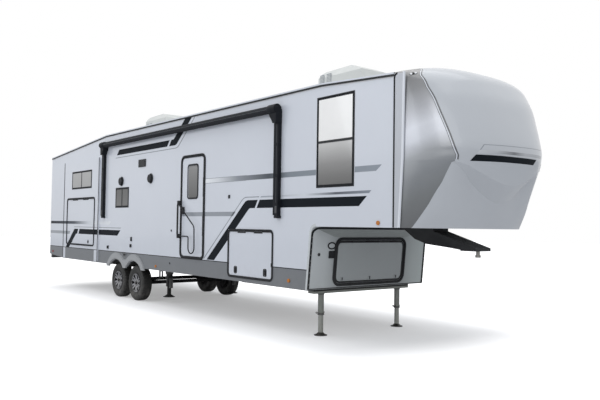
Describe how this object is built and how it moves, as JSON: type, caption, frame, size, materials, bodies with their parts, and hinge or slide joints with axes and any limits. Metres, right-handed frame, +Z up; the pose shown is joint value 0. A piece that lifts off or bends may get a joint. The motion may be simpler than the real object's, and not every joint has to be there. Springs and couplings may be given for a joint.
{
  "type": "fifth wheel trailer",
  "caption": "Long two-axle fifth wheel travel trailer with a rounded nose cap over a pin box, slide-out rooms, entry door, hatches, awning and roof units.",
  "frame": {"origin": "on the ground, at the middle of the whole trailer's box", "axes": "+X forward to the nose and kingpin, +Y to the side away from the entry door, +Z up"},
  "size_m": [13.6773, 2.6328, 4.105],
  "materials": {
    "frame_black": "satin black",
    "steel": "galvanised",
    "underbelly": "corrugated black",
    "floor": "coated board",
    "deck": "laminate",
    "bulkhead": "moulded, painted grey",
    "wall": "gelcoat laminate",
    "roof": "white membrane",
    "cap": "painted moulding",
    "flange": "pale",
    "skirt": "mid grey sheet",
    "fender": "light grey moulding",
    "trim": "black",
    "unit": "off-white moulding",
    "awning_metal": "anodised",
    "awning_fabric": "rolled vinyl",
    "glass": "tinted",
    "lamp": "amber and red lenses",
    "tyre": "rubber",
    "rim": "black with machined face"
  },
  "bodies": {
    "trailer": {"frame_rails": "frame_black", "pin_box": "frame_black", "kingpin": "steel", "underbelly": "underbelly", "floor_panel": "floor", "bay_liner": "floor", "bedroom_deck": "deck", "bulkhead": "bulkhead", "side_wall_door": "wall", "side_wall_off": "wall", "rear_wall": "wall", "roof_panel": "roof", "eave_rails": "trim", "nose_cap": "cap", "cap_flange": "flange", "skirts": "skirt", "fenders": "fender", "axle_front": "frame_black", "axle_rear": "frame_black", "leaf_springs": "frame_black", "landing_legs": "steel", "stabilizer_jacks": "frame_black", "rear_bumper": "frame_black", "roof_ac": "unit", "roof_vents": "unit", "awning_arms": "awning_metal", "awning_roller": "awning_fabric", "hatch_rings": "trim", "window_frames": "trim", "window_glass": "glass", "lamps": "lamp", "wall_fittings": "trim"},
    "wheel_front_door": {"tyre_front_door": "tyre", "rim_front_door": "rim"},
    "wheel_rear_door": {"tyre_rear_door": "tyre", "rim_rear_door": "rim"},
    "wheel_front_off": {"tyre_front_off": "tyre", "rim_front_off": "rim"},
    "wheel_rear_off": {"tyre_rear_off": "tyre", "rim_rear_off": "rim"},
    "entry_door": {"entry_door": "wall", "entry_glass": "glass", "grab_handle": "trim"},
    "pass_hatch_door": {"pass_hatch_door": "wall"},
    "pass_hatch_off": {"pass_hatch_off": "wall"},
    "bulkhead_hatch": {"bulkhead_hatch": "bulkhead"},
    "bunk_room": {"bunk_room": "wall", "bunk_trim": "trim", "kitchen_ring": "trim"},
    "kitchen_hatch": {"kitchen_hatch": "wall"},
    "main_room": {"main_room": "wall", "main_trim": "trim"}
  },
  "joints": [
    {"name": "wheel_front_door_spin", "type": "hinge", "parent": "trailer", "child": "wheel_front_door", "pos_m": [-1.55, -1.07, 0.365], "axis": [0, 1, 0], "continuous": true},
    {"name": "wheel_rear_door_spin", "type": "hinge", "parent": "trailer", "child": "wheel_rear_door", "pos_m": [-2.43, -1.07, 0.365], "axis": [0, 1, 0], "continuous": true},
    {"name": "wheel_front_off_spin", "type": "hinge", "parent": "trailer", "child": "wheel_front_off", "pos_m": [-1.55, 1.07, 0.365], "axis": [0, 1, 0], "continuous": true},
    {"name": "wheel_rear_off_spin", "type": "hinge", "parent": "trailer", "child": "wheel_rear_off", "pos_m": [-2.43, 1.07, 0.365], "axis": [0, 1, 0], "continuous": true},
    {"name": "entry_door_hinge", "type": "hinge", "parent": "trailer", "child": "entry_door", "pos_m": [1.237, -1.227, 1.9], "axis": [0, 0, 1], "range_deg": [0, 110]},
    {"name": "pass_hatch_door_hinge", "type": "hinge", "parent": "trailer", "child": "pass_hatch_door", "pos_m": [2.704, -1.227, 1.501], "axis": [-1, 0, 0], "range_deg": [0, 110]},
    {"name": "pass_hatch_off_hinge", "type": "hinge", "parent": "trailer", "child": "pass_hatch_off", "pos_m": [2.704, 1.227, 1.501], "axis": [1, 0, 0], "range_deg": [0, 110]},
    {"name": "bulkhead_hatch_hinge", "type": "hinge", "parent": "trailer", "child": "bulkhead_hatch", "pos_m": [4.23424, 0, 1.36998], "axis": [0, -1, 0], "range_deg": [0, 85]},
    {"name": "bunk_room_slide", "type": "slide", "parent": "trailer", "child": "bunk_room", "axis": [0, -1, 0], "range_m": [0, 0.55]},
    {"name": "kitchen_hatch_hinge", "type": "hinge", "parent": "bunk_room", "child": "kitchen_hatch", "pos_m": [-4.592, -1.2533, 2.172], "axis": [-1, 0, 0], "range_deg": [0, 85]},
    {"name": "main_room_slide", "type": "slide", "parent": "trailer", "child": "main_room", "axis": [0, 1, 0], "range_m": [0, 0.85]}
  ]
}
